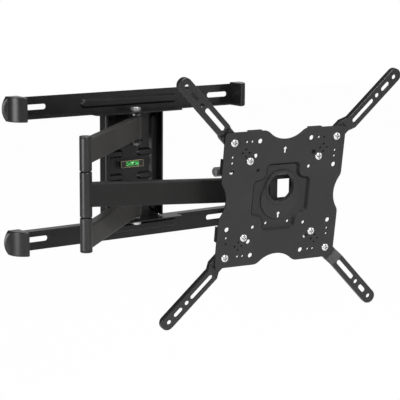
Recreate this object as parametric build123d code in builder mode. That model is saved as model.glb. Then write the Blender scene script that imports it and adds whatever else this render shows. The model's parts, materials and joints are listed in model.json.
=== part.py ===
from build123d import *
from math import cos, radians, sin, sqrt
import os

os.makedirs("parts", exist_ok=True)

# Row frame: X right along the wall, Y into the wall, Z up, wall at Y = 0.

# Wall bracket
stud_spacing = 406.4
rail_spacing = 243.0
rail_height = 39.0
sheet = 2.5
bend_r = 1.6
slot_length = 48.0
slot_width = 10.0
flange_depth = 21.0
tab_depth = 43.0
tab_width = 190.0
tab_corner_r = 5.0
bead_length = 214.0
bead_width = 17.0
bead_height = 4.5
bead_taper = 30.0
bead_round = 3.0

# End caps of the rails
cap_inner_x = 236.0
cap_length = 25.0
cap_depth = 37.5
cap_end_depth = 9.0
cap_bow_out = 7.0
cap_bow_left = 0.3
cap_over = 3.0
cap_wall = 2.5
cap_round = 2.0
cap_fit = 0.2
rail_in_cap = 17.0
cap_bulge_along = 0.68
cap_bulge_out = 0.66

# Centre plate of the wall bracket
column_width = 130.0
column_depth = 22.4
column_lip_r = 5.3
column_end_gap = 2.0
column_end_r = 3.0
rib_x = 52.0
rib_width = 18.0
rib_height = 5.0
rib_taper = 38.0
rib_round = 1.5
rib_end_gap = 8.0
finger_z = 22.5
finger_tip_x = 15.0
finger_width = 15.5

# Level in the centre plate
level_width = 50.0
level_height = 13.2
level_depth = 9.5
level_z = 2.6
vial_length = 27.5
vial_r = 5.0
vial_show = 1.4

# Wall pivots
pivot_y = -24.0
lug_t = 3.0
lug_r = 13.0
clevis_half = 27.0
bolt_r = 5.0
bolt_head_flats = 16.0
bolt_head_t = 7.0
nut_t = 5.0
bolt_tip = 1.0
washer_r = 9.5
washer_t = 2.5
bush_flange_t = 2.5
bush_depth = 10.0
bush_wall = 1.5
running_gap = 0.3
running_fit = 0.05
hole_fit = 0.2

# Arms
rear_reach = 320.66
fore_reach = 308.0
rear_angle = 222.035
fore_angle = 336.7
bar_height = 41.0
bar_thick = 18.0
bar_wall = 2.0
bar_corner_r = 3.0
barrel_r = 11.0
barrel_over = 0.7
knuckle_r = 10.5
pin_r = 6.0
fore_knuckle_half = 38.2
knuckle_over = 2.6
knuckle_edge = 0.8
elbow_washer_t = 1.0
elbow_washer_r = 8.5
elbow_cap_t = 3.0
elbow_cap_edge = 1.0

# Head
head_yaw = -6.7
photo_tilt = 8.3
yoke_lug_t = 5.0
yoke_lug_r = 14.0
yoke_web_t = 4.0
yoke_web_gap = 15.0
yoke_post_width = 14.6
window_top = 21.0
window_bottom = -11.0
window_r = 1.5
ear_out = 36.5
ear_t = 4.0
ear_r = 10.0
ear_meet_angle = 30.0
axle_forward = 29.7
axle_height = 42.1
axle_r = 4.0
cheek_t = 3.0
cheek_gap = 0.5
knob_r = 8.0
knob_start = 92.0
knob_length = 25.0
knob_edge = 2.2
axle_nut_t = 6.5
axle_nut_flats = 13.0
swivel_head_r = 9.0
swivel_head_t = 5.0

# Screen plate
plate_width = 235.0
plate_t = 2.5
plate_corner_r = 7.0
waist_r = 48.0
waist_depth = 16.5
side_waist_depth = 11.5
shoulder_r = 17.0
fold_depth = 10.0
fold_length = 26.0
fold_centre = 58.5
recess_x = 57.0
recess_z = 60.5
recess_notch_x = 34.0
recess_notch_z = 33.5
recess_depth = 5.5
recess_taper = 38.0
recess_outer_r = 8.5
recess_inner_r = 13.5
recess_rim_r = 4.0
recess_floor_r = 3.0
plate_behind_axle_z = 43.0
axle_behind_face = 30.0
vesa_outer = 200.0
vesa_inner = 100.0
vesa_far = 400.0
inner_screw_pitch = 134.0
big_hole_r = 4.25
small_hole_r = 2.0
small_pitches = (130.0, 150.0)
vesa_inner_r = 3.0
spare_hole_r = 4.0
spare_pitch_x = 113.0
spare_pitch_z = 150.0
cluster_pitch_x = 151.5
cluster_pitch_z = 162.5
cluster_r = 6.4
cluster_hole_r = 1.75
floor_hole_x = 21.6
floor_hole_z = -47.0
floor_hole_r = 2.5
arrow_hole_r = 7.5
arrow_z = 82.6
arrow_height = 12.0
arrow_head_share = 0.38
arrow_stem_share = 0.17
arrow_neck_share = 0.08

# Hub between screen plate and tilt bracket
hub_r = 37.0
hub_z = -3.5
hub_t = 2.5
collar_z = 15.7
collar_r = 28.0
collar_wall = 2.5
rim_width = 2.5
rim_height = 1.5
hub_round = 1.2
hub_arrow_drop = 29.0
bracket_top = 57.0
bracket_bottom = -15.0
cheek_foot_low = 10.0

# Extension arms
strap_width = 25.0
strap_t = 2.5
strap_flange = 9.0
strap_tip = 156.5
strap_proud = 7.5
strap_tail = -57.0
strap_round = 1.8
strap_spare = 1.0
joggle_gap = 0.8
joggle_run = 12.0
long_slot_from = 36.0
long_slot_to = 88.0
strap_slot_width = 8.0
round_hole_x = 98.0
short_slot_x = 119.0
short_slot_length = 19.0
screw_r = 4.0
screw_head_r = 6.5
screw_head_t = 3.6
screw_head_taper = 12.0
screw_nut_t = 5.0
screw_nut_flats = 12.0

# Lengths and heights worked out from the dimensions above
rail_length = 2 * (cap_inner_x + rail_in_cap)
rail_inner = rail_spacing / 2 - rail_height / 2
lug_top = rail_inner
lug_bottom = lug_top - lug_t
barrel_top = lug_bottom - washer_t - running_gap - bush_flange_t
barrel_height = bar_height + 2 * barrel_over
barrel_bottom = barrel_top - barrel_height
bar_mid = barrel_top - barrel_height / 2
low_lug_top = barrel_bottom - bush_flange_t - running_gap
low_lug_bottom = low_lug_top - lug_t
knuckle_top = bar_mid + bar_height / 2 + knuckle_over
knuckle_low = fore_knuckle_half + elbow_washer_t + 2 * running_gap
head_barrel_half = barrel_height / 2
yoke_lug_low = head_barrel_half + bush_flange_t + running_gap
yoke_lug_high = yoke_lug_low + yoke_lug_t

# Where the extension arms leave the plate's corner, measured from the corner screw
diagonal = sqrt(2)
plate_corner = (plate_width - vesa_outer) / 2 * diagonal - plate_corner_r * (diagonal - 1)
joggle_start = plate_corner + joggle_gap
joggle_end = joggle_start + joggle_run
inner_screw_x = (inner_screw_pitch - vesa_outer) / 2 * diagonal
end_hole_x = (vesa_far - vesa_outer) / 2 * diagonal

# Points of the pivots, seen from above
pivot = (0.0, pivot_y)
rear_dir = (cos(radians(rear_angle)), sin(radians(rear_angle)))
fore_dir = (cos(radians(fore_angle)), sin(radians(fore_angle)))
elbow = (pivot[0] + rear_reach * rear_dir[0], pivot[1] + rear_reach * rear_dir[1])
swivel = (elbow[0] + fore_reach * fore_dir[0], elbow[1] + fore_reach * fore_dir[1])

# Work planes
wall = Plane(origin=(0, 0, 0), x_dir=(1, 0, 0), z_dir=(0, -1, 0))
pivot_plan = Plane(origin=(pivot[0], pivot[1], 0), x_dir=(1, 0, 0), z_dir=(0, 0, 1))
rear_plan = Plane(origin=(pivot[0], pivot[1], 0), x_dir=(rear_dir[0], rear_dir[1], 0), z_dir=(0, 0, 1))
elbow_plan = Plane(origin=(elbow[0], elbow[1], 0), x_dir=(1, 0, 0), z_dir=(0, 0, 1))
yaw = radians(head_yaw)
right_dir = Vector(cos(yaw), sin(yaw), 0)
front_dir = Vector(sin(yaw), -cos(yaw), 0)
up_dir = Vector(0, 0, 1)
near = 0.01
head_plan = Plane(origin=(swivel[0], swivel[1], 0), x_dir=right_dir, z_dir=(0, 0, 1))
axle_point = Vector(swivel[0], swivel[1], 0) + front_dir * axle_forward + up_dir * axle_height
tilt = radians(photo_tilt)
face_dir = front_dir * cos(tilt) - up_dir * sin(tilt)
face_up = up_dir * cos(tilt) + front_dir * sin(tilt)
face_point = axle_point + face_dir * axle_behind_face - face_up * plate_behind_axle_z
face = Plane(origin=face_point, x_dir=right_dir, z_dir=face_dir)
back = Plane(origin=face_point, x_dir=right_dir, z_dir=face_dir * -1)
axle_side = Plane(origin=axle_point, x_dir=face_dir * -1, z_dir=right_dir)
head_side = Plane(origin=(swivel[0], swivel[1], 0), x_dir=front_dir * -1, z_dir=right_dir)


def keep(part, name):
    """Name a finished piece and write it to its own file."""
    part.label = name
    export_step(part, "parts/" + name + ".step")


def disc(plan, radius, low, high, bore=0.0, edge=0.0):
    """A round disc, or a ring when bore is given, with its outer edges chamfered if wanted."""
    with BuildPart() as piece:
        with BuildSketch(plan.offset(low)):
            Circle(radius)
            if bore > 0:
                Circle(bore, mode=Mode.SUBTRACT)
        extrude(amount=high - low)
        if edge > 0:
            round_edges = edges().filter_by(GeomType.CIRCLE).group_by(SortBy.RADIUS)
            chamfer(round_edges[-1], edge)
    return piece.part


def square_tube(plan, reach, low_mid, start_r, end_r):
    """A rectangular tube along a plan's X, coped to the round posts at both ends."""
    across = Plane(
        origin=plan.origin + plan.z_dir * low_mid,
        x_dir=plan.y_dir,
        z_dir=plan.x_dir,
    )
    with BuildPart() as piece:
        with BuildSketch(across):
            RectangleRounded(bar_thick, bar_height, bar_corner_r)
            RectangleRounded(
                bar_thick - 2 * bar_wall,
                bar_height - 2 * bar_wall,
                bar_corner_r - bar_wall / 2,
                mode=Mode.SUBTRACT,
            )
        extrude(amount=reach)
        with BuildSketch(plan.offset(low_mid - bar_height)):
            Circle(start_r)
            with Locations((reach, 0)):
                Circle(end_r)
        extrude(amount=2 * bar_height, mode=Mode.SUBTRACT)
    return piece.part


def arrow(height, mode):
    """Draw a plain arrow that points along the sketch's Y."""
    half_head = height * arrow_head_share
    half_stem = height * arrow_stem_share
    neck = height * arrow_neck_share
    Polygon(
        (0, height / 2),
        (-half_head, neck),
        (-half_stem, neck),
        (-half_stem, -height / 2),
        (half_stem, -height / 2),
        (half_stem, neck),
        (half_head, neck),
        align=None,
        mode=mode,
    )


def rail(side):
    """A wall rail; side is +1 for the upper rail and -1 for the lower one."""
    mid = side * rail_spacing / 2
    flange_low = rail_inner if side > 0 else -rail_inner - sheet
    with BuildPart() as piece:
        with BuildSketch(wall):
            with Locations((0, mid)):
                Rectangle(rail_length, rail_height)
            with Locations((-stud_spacing / 2, mid), (stud_spacing / 2, mid)):
                SlotOverall(slot_length, slot_width, mode=Mode.SUBTRACT)
        extrude(amount=sheet)
        with BuildSketch(Plane.XY.offset(flange_low)):
            with Locations((0, -flange_depth / 2)):
                Rectangle(rail_length, flange_depth)
            with Locations((0, -tab_depth / 2)):
                Rectangle(tab_width, tab_depth)
            front = vertices().group_by(Axis.Y)[0]
            fillet(front, tab_corner_r)
            with Locations(pivot):
                Circle(bolt_r + hole_fit, mode=Mode.SUBTRACT)
        extrude(amount=sheet)
        outside = edges().filter_by(Axis.X).filter_by_position(Axis.Y, -near, near)
        fillet(outside.sort_by(Axis.Z)[0 if side > 0 else -1], bend_r)
        with BuildSketch(wall.offset(sheet)):
            with Locations((0, mid)):
                SlotOverall(bead_length, bead_width)
        extrude(amount=bead_height, taper=bead_taper)
        bead_top = -sheet - bead_height
        fillet(edges().filter_by_position(Axis.Y, bead_top - near, bead_top + near), bead_round)
        with BuildSketch(wall):
            with Locations((0, mid)):
                SlotOverall(bead_length - sheet, bead_width - sheet)
        extrude(amount=bead_height, taper=bead_taper, mode=Mode.SUBTRACT)
    return piece.part


keep(rail(1), "upper_rail")
keep(rail(-1), "lower_rail")


def cap_outline(inset):
    """A cap seen from above, with its front falling away to the outer end."""
    inner = cap_inner_x + inset
    outer = cap_inner_x + cap_length - inset
    front = cap_depth - inset
    end = cap_end_depth - inset
    bulge_x = inner + cap_bulge_along * (outer - inner)
    bulge_y = end + cap_bulge_out * (front - end)
    with BuildSketch(Plane.XY) as outline:
        with BuildLine():
            Polyline((inner, -front), (inner, 0), (outer, 0), (outer, -end))
            ThreePointArc((outer, -end), (bulge_x, -bulge_y), (inner, -front))
        make_face()
    return outline.sketch


def cap_bow(mid, inset):
    """A cap's outer end: bowed out at the wall and flat where it meets the front."""
    start = cap_inner_x + cap_length - inset
    half = rail_height / 2 + cap_over - cap_round - inset
    with BuildPart() as bow:
        for depth, rise in ((0, cap_bow_out), (cap_end_depth - inset, cap_bow_left)):
            with BuildSketch(wall.offset(depth)):
                with BuildLine():
                    Line((start, mid - half), (start, mid + half))
                    ThreePointArc((start, mid + half), (start + rise, mid), (start, mid - half))
                make_face()
        loft()
    return bow.part


def end_cap(side, hand):
    """A moulded cap; hand is +1 on the right end and -1 on the left end."""
    mid = side * rail_spacing / 2
    height = rail_height + 2 * cap_over
    flange_mid = side * (rail_inner + sheet / 2)
    open_length = cap_length - 2 * cap_wall
    outside = cap_outline(0)
    inside = cap_outline(cap_wall)
    bow = cap_bow(mid, 0)
    bow_inside = cap_bow(mid, cap_wall)
    with BuildPart() as piece:
        with BuildSketch(Plane.XY.offset(mid - height / 2)):
            add(outside)
        extrude(amount=height)
        outer_edges = edges().group_by(Axis.Z)[0] + edges().group_by(Axis.Z)[-1]
        fillet(outer_edges.filter_by_position(Axis.Y, -cap_depth, -near), cap_round)
        add(bow)
        with BuildSketch(Plane.XY.offset(mid - height / 2 + cap_wall)):
            add(inside)
            with Locations((cap_inner_x + cap_wall + open_length / 2, 0)):
                Rectangle(open_length, 2 * cap_wall)
        extrude(amount=height - 2 * cap_wall, mode=Mode.SUBTRACT)
        add(bow_inside, mode=Mode.SUBTRACT)
        with BuildSketch(wall):
            with Locations((cap_inner_x + cap_wall / 2, mid)):
                Rectangle(3 * cap_wall, rail_height + 2 * cap_fit)
        extrude(amount=sheet + cap_fit, mode=Mode.SUBTRACT)
        with BuildSketch(wall):
            with Locations((cap_inner_x + cap_wall / 2, flange_mid)):
                Rectangle(3 * cap_wall, sheet + 2 * cap_fit)
        extrude(amount=flange_depth + cap_fit, mode=Mode.SUBTRACT)
        if hand < 0:
            mirror(about=Plane.YZ, mode=Mode.REPLACE)
    return piece.part


keep(end_cap(1, -1), "upper_left_cap")
keep(end_cap(1, 1), "upper_right_cap")
keep(end_cap(-1, -1), "lower_left_cap")
keep(end_cap(-1, 1), "lower_right_cap")


def rib_outline(inset):
    """Draw both stiffening ribs: an upright with two fingers towards the level."""
    upright = 2 * (rail_inner - rib_end_gap - inset)
    finger = rib_x - finger_tip_x - inset
    with BuildSketch(Plane.XY) as outline:
        with Locations((-rib_x, 0), (rib_x, 0)):
            SlotOverall(upright, rib_width - 2 * inset, rotation=90)
        for hand in (-1, 1):
            with GridLocations(0, 2 * finger_z, 1, 2):
                with Locations((hand * (rib_x - finger / 2), 0)):
                    SlotOverall(finger, finger_width - 2 * inset)
                with Locations((hand * (rib_x - finger / 4), 0)):
                    Rectangle(finger / 2, finger_width - 2 * inset)
    return outline.sketch


def column_fold():
    """One forward fold of the centre plate, its front edge rolled inwards."""
    tall = 2 * (rail_inner - column_end_gap)
    left = -column_width / 2
    start = column_depth - column_lip_r
    inner_r = column_lip_r - sheet
    bow = 1 - cos(radians(45))
    with BuildPart() as fold:
        with BuildSketch(Plane.XY.offset(-tall / 2)):
            with BuildLine():
                Line((left, 0), (left, -start))
                ThreePointArc(
                    (left, -start),
                    (left + column_lip_r * bow, -column_depth + column_lip_r * bow),
                    (left + column_lip_r, -column_depth),
                )
                Line((left + column_lip_r, -column_depth), (left + column_lip_r, -column_depth + sheet))
                ThreePointArc(
                    (left + column_lip_r, -column_depth + sheet),
                    (left + sheet + inner_r * bow, -column_depth + sheet + inner_r * bow),
                    (left + sheet, -start),
                )
                Polyline((left + sheet, -start), (left + sheet, 0), (left, 0))
            make_face()
        extrude(amount=tall)
        with BuildSketch(Plane(origin=(left, 0, 0), x_dir=(0, -1, 0), z_dir=(1, 0, 0))):
            with Locations((column_depth / 2, 0)):
                Rectangle(column_depth, tall)
            fillet(vertices().group_by(Axis.Y)[0], column_end_r)
        extrude(amount=2 * column_lip_r, mode=Mode.INTERSECT)
    return fold.part


rib_slope = radians(rib_taper)
rib_outside = rib_outline(0)
rib_inside = rib_outline(sheet * (1 - sin(rib_slope)) / cos(rib_slope))
fold = column_fold()

with BuildPart() as centre_plate:
    with BuildSketch(wall):
        Rectangle(column_width, 2 * rail_inner)
    extrude(amount=sheet)
    add(fold)
    add(mirror(fold, about=Plane.YZ))
    bends = edges().filter_by(Axis.Z).filter_by_position(Axis.Y, -near, near)
    fillet(bends.group_by(Axis.X)[0] + bends.group_by(Axis.X)[-1], bend_r)
    with BuildSketch(wall.offset(sheet)):
        add(rib_outside)
    extrude(amount=rib_height, taper=rib_taper)
    rib_top = -sheet - rib_height
    fillet(edges().filter_by_position(Axis.Y, rib_top - near, rib_top + near), rib_round)
    with BuildSketch(wall):
        add(rib_inside)
    extrude(amount=rib_height, taper=rib_taper, mode=Mode.SUBTRACT)
keep(centre_plate.part, "centre_plate")

with BuildPart() as level_housing:
    with BuildSketch(wall.offset(sheet)):
        with Locations((0, level_z)):
            RectangleRounded(level_width, level_height, cap_round)
    extrude(amount=level_depth)
    with BuildSketch(wall.offset(sheet + level_depth - vial_r)):
        with Locations((0, level_z)):
            Rectangle(vial_length, 2 * vial_r)
    extrude(amount=vial_r, mode=Mode.SUBTRACT)
    vial_axis = Plane(
        origin=(-vial_length / 2, -sheet - level_depth + vial_r - vial_show, level_z),
        x_dir=(0, 1, 0),
        z_dir=(1, 0, 0),
    )
    with BuildSketch(vial_axis):
        Circle(vial_r)
    extrude(amount=vial_length, mode=Mode.SUBTRACT)
keep(level_housing.part, "level_housing")

with BuildPart() as level_vial:
    with BuildSketch(vial_axis):
        Circle(vial_r)
    extrude(amount=vial_length)
keep(level_vial.part, "level_vial")


def clevis(side):
    """A folded bracket whose two lugs hold one wall bolt."""
    height = lug_top - low_lug_bottom
    mid = side * (lug_top + low_lug_bottom) / 2
    with BuildPart() as piece:
        with BuildSketch(wall.offset(sheet)):
            with Locations((0, mid)):
                Rectangle(2 * clevis_half, height)
        extrude(amount=lug_t)
        with BuildSketch(Plane.XY.offset(mid - height / 2)):
            with Locations((0, -sheet - lug_t / 2)):
                Rectangle(2 * clevis_half, lug_t)
            with BuildLine():
                root_y = -sheet - lug_t
                Line((-clevis_half, root_y), (clevis_half, root_y))
                Line((clevis_half, root_y), (lug_r, pivot_y))
                ThreePointArc((lug_r, pivot_y), (0, pivot_y - lug_r), (-lug_r, pivot_y))
                Line((-lug_r, pivot_y), (-clevis_half, root_y))
            make_face()
            with Locations(pivot):
                Circle(bolt_r + hole_fit, mode=Mode.SUBTRACT)
        extrude(amount=height)
        with BuildSketch(Plane.XY.offset(mid - height / 2 + lug_t)):
            with Locations((0, -sheet - lug_t - lug_r * 2)):
                Rectangle(2 * clevis_half, lug_r * 4)
        extrude(amount=height - 2 * lug_t, mode=Mode.SUBTRACT)
    return piece.part


keep(clevis(1), "upper_clevis")
keep(clevis(-1), "lower_clevis")

bolt_head_z = rail_inner + sheet
bolt_end = low_lug_bottom - nut_t - bolt_tip

with BuildPart() as pivot_bolts:
    with BuildSketch(pivot_plan.offset(bolt_end)):
        Circle(bolt_r)
    extrude(amount=bolt_head_z - bolt_end)
    with BuildSketch(pivot_plan.offset(bolt_head_z)):
        RegularPolygon(bolt_head_flats / 2, 6, major_radius=False)
    extrude(amount=bolt_head_t)
    mirror(about=Plane.XY)
keep(pivot_bolts.part, "pivot_bolts")

with BuildPart() as pivot_nuts:
    with BuildSketch(pivot_plan.offset(low_lug_bottom - nut_t)):
        RegularPolygon(bolt_head_flats / 2, 6, major_radius=False)
        Circle(bolt_r, mode=Mode.SUBTRACT)
    extrude(amount=nut_t)
    mirror(about=Plane.XY)
keep(pivot_nuts.part, "pivot_nuts")

with BuildPart() as pivot_washers:
    with BuildSketch(pivot_plan.offset(lug_bottom - washer_t)):
        Circle(washer_r)
        Circle(bolt_r + hole_fit, mode=Mode.SUBTRACT)
    extrude(amount=washer_t)
    mirror(about=Plane.XY)
keep(pivot_washers.part, "pivot_washers")

bush_r = bolt_r + running_fit + bush_wall

with BuildPart() as pivot_bushes:
    for flange_at, sleeve_at in (
        (barrel_top, barrel_top - bush_depth),
        (barrel_bottom - bush_flange_t, barrel_bottom),
    ):
        with BuildSketch(pivot_plan.offset(flange_at)):
            Circle(washer_r)
            Circle(bolt_r + running_fit, mode=Mode.SUBTRACT)
        extrude(amount=bush_flange_t)
        with BuildSketch(pivot_plan.offset(sleeve_at)):
            Circle(bush_r)
            Circle(bolt_r + running_fit, mode=Mode.SUBTRACT)
        extrude(amount=bush_depth)
    mirror(about=Plane.XY)
keep(pivot_bushes.part, "pivot_bushes")

for side, place in ((1, "upper"), (-1, "lower")):
    low = barrel_bottom if side > 0 else -barrel_top
    keep(disc(pivot_plan, barrel_r, low, low + barrel_height, bush_r), place + "_pivot_barrel")
    keep(square_tube(rear_plan, rear_reach, side * bar_mid, barrel_r, knuckle_r), place + "_rear_tube")
    low = knuckle_low if side > 0 else -knuckle_top
    knuckle = disc(elbow_plan, knuckle_r, low, low + knuckle_top - knuckle_low, pin_r, knuckle_edge)
    keep(knuckle, place + "_elbow_knuckle")

keep(disc(elbow_plan, pin_r, -knuckle_top, knuckle_top), "elbow_pin")

with BuildPart() as elbow_washers:
    with BuildSketch(elbow_plan.offset(fore_knuckle_half + running_gap)):
        Circle(elbow_washer_r)
        Circle(pin_r + running_fit, mode=Mode.SUBTRACT)
    extrude(amount=elbow_washer_t)
    mirror(about=Plane.XY)
keep(elbow_washers.part, "elbow_washers")

with BuildPart() as elbow_caps:
    with BuildSketch(elbow_plan.offset(knuckle_top)):
        Circle(knuckle_r)
    extrude(amount=elbow_cap_t)
    chamfer(edges().group_by(Axis.Z)[-1], elbow_cap_edge)
    mirror(about=Plane.XY)
keep(elbow_caps.part, "elbow_caps")

fore_plan = Plane(
    origin=(elbow[0], elbow[1], 0),
    x_dir=(fore_dir[0], fore_dir[1], 0),
    z_dir=(0, 0, 1),
)
keep(square_tube(fore_plan, fore_reach, 0, knuckle_r, barrel_r), "forearm_tube")
fore_bore = pin_r + running_fit
fore_knuckle = disc(elbow_plan, knuckle_r, -fore_knuckle_half, fore_knuckle_half, fore_bore, knuckle_edge)
keep(fore_knuckle, "forearm_knuckle")
keep(disc(head_plan, barrel_r, -head_barrel_half, head_barrel_half, bush_r), "head_barrel")

with BuildPart() as head_bushes:
    with BuildSketch(head_plan.offset(head_barrel_half)):
        Circle(washer_r)
        Circle(bolt_r + running_fit, mode=Mode.SUBTRACT)
    extrude(amount=bush_flange_t)
    with BuildSketch(head_plan.offset(head_barrel_half - bush_depth)):
        Circle(bush_r)
        Circle(bolt_r + running_fit, mode=Mode.SUBTRACT)
    extrude(amount=bush_depth)
    mirror(about=Plane.XY)
keep(head_bushes.part, "head_bushes")

web_back = barrel_r + yoke_web_gap
web_front = web_back + yoke_web_t
ear_in = ear_out - ear_t
foot_front = axle_forward + ear_r / 2
foot_back = axle_forward - ear_r

yoke_face = Plane(
    origin=Vector(swivel[0], swivel[1], 0) + front_dir * web_back,
    x_dir=right_dir,
    z_dir=front_dir,
)
window_width = ear_in - yoke_post_width / 2
window_x = yoke_post_width / 2 + window_width / 2

with BuildPart() as head_yoke:
    with BuildSketch(head_plan.offset(-yoke_lug_high)):
        Circle(yoke_lug_r)
        with Locations((0, -web_front / 2)):
            Rectangle(2 * yoke_lug_r, web_front)
        Circle(bolt_r + hole_fit, mode=Mode.SUBTRACT)
    extrude(amount=yoke_lug_t)
    with BuildSketch(yoke_face):
        Rectangle(2 * ear_out, 2 * yoke_lug_high)
        with Locations((0, (window_top + window_bottom) / 2)):
            with Locations((-window_x, 0), (window_x, 0)):
                RectangleRounded(window_width, window_top - window_bottom, window_r, mode=Mode.SUBTRACT)
    extrude(amount=yoke_web_t)
    with BuildSketch(head_plan.offset(yoke_lug_low)):
        with BuildLine():
            Polyline(
                (-yoke_lug_r, 0),
                (-ear_out, -foot_back),
                (-ear_out, -foot_front),
                (ear_out, -foot_front),
                (ear_out, -foot_back),
                (yoke_lug_r, 0),
            )
            ThreePointArc((yoke_lug_r, 0), (0, yoke_lug_r), (-yoke_lug_r, 0))
        make_face()
        Circle(bolt_r + hole_fit, mode=Mode.SUBTRACT)
    extrude(amount=yoke_lug_t)
    for start in (-ear_out, ear_in):
        with BuildSketch(head_side.offset(start)):
            with Locations((-axle_forward, axle_height)):
                Circle(ear_r)
            with BuildLine():
                Polyline(
                    (-foot_front, yoke_lug_low),
                    (-foot_back, yoke_lug_low),
                    (-foot_back, axle_height),
                    (-axle_forward - ear_r, axle_height),
                    (-foot_front, yoke_lug_low),
                )
            make_face()
            with Locations((-axle_forward, axle_height)):
                Circle(axle_r + running_fit, mode=Mode.SUBTRACT)
        extrude(amount=ear_t)
keep(head_yoke.part, "head_yoke")

with BuildPart() as swivel_bolt:
    with BuildSketch(head_plan.offset(-yoke_lug_high - nut_t - washer_t)):
        Circle(bolt_r)
    extrude(amount=2 * yoke_lug_high + nut_t + washer_t)
    with BuildSketch(head_plan.offset(yoke_lug_high)):
        Circle(swivel_head_r)
    extrude(amount=swivel_head_t)
    chamfer(edges().group_by(Axis.Z)[-1], knob_edge)
keep(swivel_bolt.part, "swivel_bolt")

with BuildPart() as swivel_nut:
    with BuildSketch(head_plan.offset(-yoke_lug_high - nut_t)):
        RegularPolygon(bolt_head_flats / 2, 6, major_radius=False)
        Circle(bolt_r, mode=Mode.SUBTRACT)
    extrude(amount=nut_t)
keep(swivel_nut.part, "swivel_nut")

cheek_in = ear_out + cheek_gap
cheek_out = cheek_in + cheek_t
floor_back = recess_depth + plate_t
web_low = floor_back + running_gap
web_high = web_low + cheek_t
ear_meet = radians(ear_meet_angle)

with BuildPart() as tilt_bracket:
    with BuildSketch(back.offset(web_low)):
        with Locations((0, -(bracket_top + bracket_bottom) / 2)):
            Rectangle(2 * cheek_out, bracket_top - bracket_bottom)
        with Locations((0, -collar_z)):
            Circle(collar_r, mode=Mode.SUBTRACT)
    extrude(amount=cheek_t)
    for start in (-cheek_out, cheek_in):
        with BuildSketch(axle_side.offset(start)):
            Circle(ear_r)
            with BuildLine():
                reach = axle_behind_face - web_low
                Polyline(
                    (-reach, bracket_top - plate_behind_axle_z),
                    (-reach, cheek_foot_low - plate_behind_axle_z),
                    (ear_r * sin(ear_meet), -ear_r * cos(ear_meet)),
                    (ear_r * sin(ear_meet), ear_r * cos(ear_meet)),
                    (-reach, bracket_top - plate_behind_axle_z),
                )
            make_face()
            Circle(axle_r, mode=Mode.SUBTRACT)
        extrude(amount=cheek_t)
keep(tilt_bracket.part, "tilt_bracket")

with BuildPart() as tilt_axle:
    with BuildSketch(axle_side.offset(-knob_start - knob_length / 2)):
        Circle(axle_r)
    extrude(amount=knob_start + knob_length / 2 + cheek_out + axle_nut_t + cheek_t)
keep(tilt_axle.part, "tilt_axle")

with BuildPart() as tilt_knob:
    with BuildSketch(axle_side.offset(-knob_start - knob_length)):
        Circle(knob_r)
    extrude(amount=knob_length)
    chamfer(edges().filter_by(GeomType.CIRCLE), knob_edge)
    with BuildSketch(axle_side.offset(-knob_start - knob_length / 2)):
        Circle(axle_r)
    extrude(amount=knob_length, mode=Mode.SUBTRACT)
keep(tilt_knob.part, "tilt_knob")

with BuildPart() as tilt_nuts:
    for start in (-cheek_out - axle_nut_t, cheek_out):
        with BuildSketch(axle_side.offset(start)):
            RegularPolygon(axle_nut_flats / 2, 6, major_radius=False)
            Circle(axle_r, mode=Mode.SUBTRACT)
        extrude(amount=axle_nut_t)
keep(tilt_nuts.part, "tilt_nuts")

hub_back = recess_depth - running_gap
hub_front = hub_back - hub_t

with BuildPart() as hub_disc:
    with BuildSketch(face.offset(-hub_back)):
        with Locations((0, hub_z)):
            Circle(hub_r)
        with Locations((0, collar_z)):
            Circle(collar_r + rim_width)
            Circle(collar_r - collar_wall, mode=Mode.SUBTRACT)
        with Locations((0, hub_z - hub_arrow_drop)):
            arrow(arrow_height, Mode.SUBTRACT)
    extrude(amount=hub_t)
    fillet(faces().sort_by(Axis(face_point, face_dir))[-1].outer_wire().edges(), hub_round)
    with BuildSketch(face.offset(-hub_front)):
        with Locations((0, collar_z)):
            Circle(collar_r + rim_width / 2)
            Circle(collar_r - collar_wall, mode=Mode.SUBTRACT)
    extrude(amount=rim_height)
    with BuildSketch(back.offset(hub_back)):
        with Locations((0, -collar_z)):
            Circle(collar_r)
            Circle(collar_r - collar_wall, mode=Mode.SUBTRACT)
    extrude(amount=web_high - hub_back)
keep(hub_disc.part, "hub_disc")


def recess_outline(inset):
    """The pressed recess of the screen plate: a broad cross with rounded corners."""
    outer_x = recess_notch_x - inset
    outer_z = recess_notch_z - inset
    with BuildSketch(Plane.XY) as outline:
        Rectangle(2 * (recess_x - inset), 2 * outer_z)
        Rectangle(2 * outer_x, 2 * (recess_z - inset))
        inner_corners = [v for v in vertices() if max(abs(v.X) - outer_x, abs(v.Y) - outer_z) < near]
        fillet(inner_corners, recess_inner_r)
        outer_corners = [v for v in vertices() if min(recess_x - abs(v.X), recess_z - abs(v.Y)) < inset + near]
        fillet(outer_corners, recess_outer_r)
    return outline.sketch


recess_outside = recess_outline(0)
recess_slope = radians(recess_taper)
recess_inside = recess_outline(plate_t * (1 - sin(recess_slope)) / cos(recess_slope))

with BuildPart() as pressing:
    with BuildSketch(back):
        add(recess_inside)
    extrude(amount=recess_depth, taper=recess_taper)
    recess_floor = Axis(face_point, face_dir * -1)
    fillet(edges().filter_by_position(recess_floor, recess_depth - near, recess_depth + near), recess_floor_r)

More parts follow.
